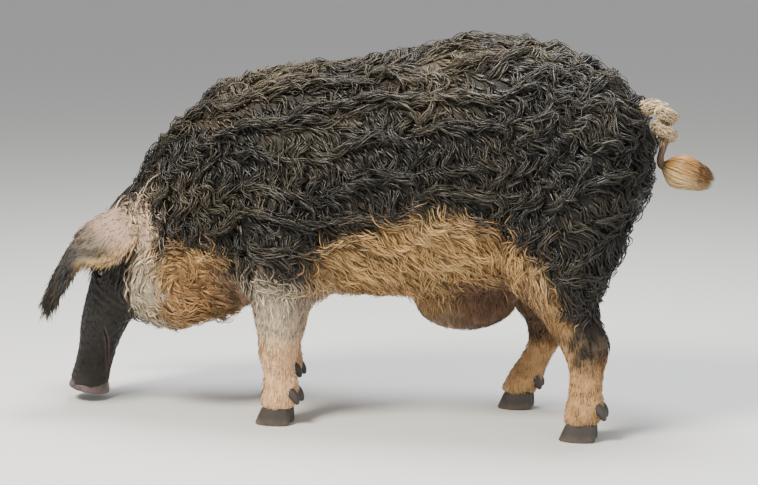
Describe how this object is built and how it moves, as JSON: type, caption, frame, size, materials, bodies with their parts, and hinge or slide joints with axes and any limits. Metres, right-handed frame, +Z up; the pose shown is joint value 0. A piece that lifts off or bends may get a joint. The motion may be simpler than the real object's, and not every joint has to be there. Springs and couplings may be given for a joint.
{
  "type": "mangalica pig model",
  "caption": "Life-size still model of a curly-coated, swallow-bellied farm pig standing with its head down to graze.",
  "frame": {"origin": "on the floor under the middle of the whole model", "axes": "+Z up; the pig faces -X and its left side is at -Y"},
  "size_m": [1.407, 0.4574, 0.8247],
  "materials": {
    "face": "short dark hair over dark skin, golden on the jowls",
    "snout": "bare moist dark skin",
    "ear": "thin grey-pink skin with sparse hair, dark towards the tip",
    "black_coat": "dense black curly coat, golden along the belly",
    "leg": "short tan and grey hair over pinkish skin",
    "tail_hair": "pale blond hair",
    "eye": "wet dark brown eye",
    "claw": "dark worn horn"
  },
  "bodies": {
    "root": {"head": "face", "muzzle": "face", "snout_disc": "snout", "ear_left": "ear", "ear_right": "ear", "eye_left": "eye", "eye_right": "eye", "neck": "black_coat", "torso": "black_coat", "hindquarters": "black_coat", "tail": "tail_hair", "foreleg_left": "leg", "foreleg_right": "leg", "hindleg_left": "leg", "hindleg_right": "leg", "claw_fore_left_inner": "claw", "dewclaw_fore_left_inner": "claw", "claw_fore_left_outer": "claw", "dewclaw_fore_left_outer": "claw", "claw_fore_right_inner": "claw", "dewclaw_fore_right_inner": "claw", "claw_fore_right_outer": "claw", "dewclaw_fore_right_outer": "claw", "claw_hind_left_inner": "claw", "dewclaw_hind_left_inner": "claw", "claw_hind_left_outer": "claw", "dewclaw_hind_left_outer": "claw", "claw_hind_right_inner": "claw", "dewclaw_hind_right_inner": "claw", "claw_hind_right_outer": "claw", "dewclaw_hind_right_outer": "claw"}
  },
  "joints": []
}
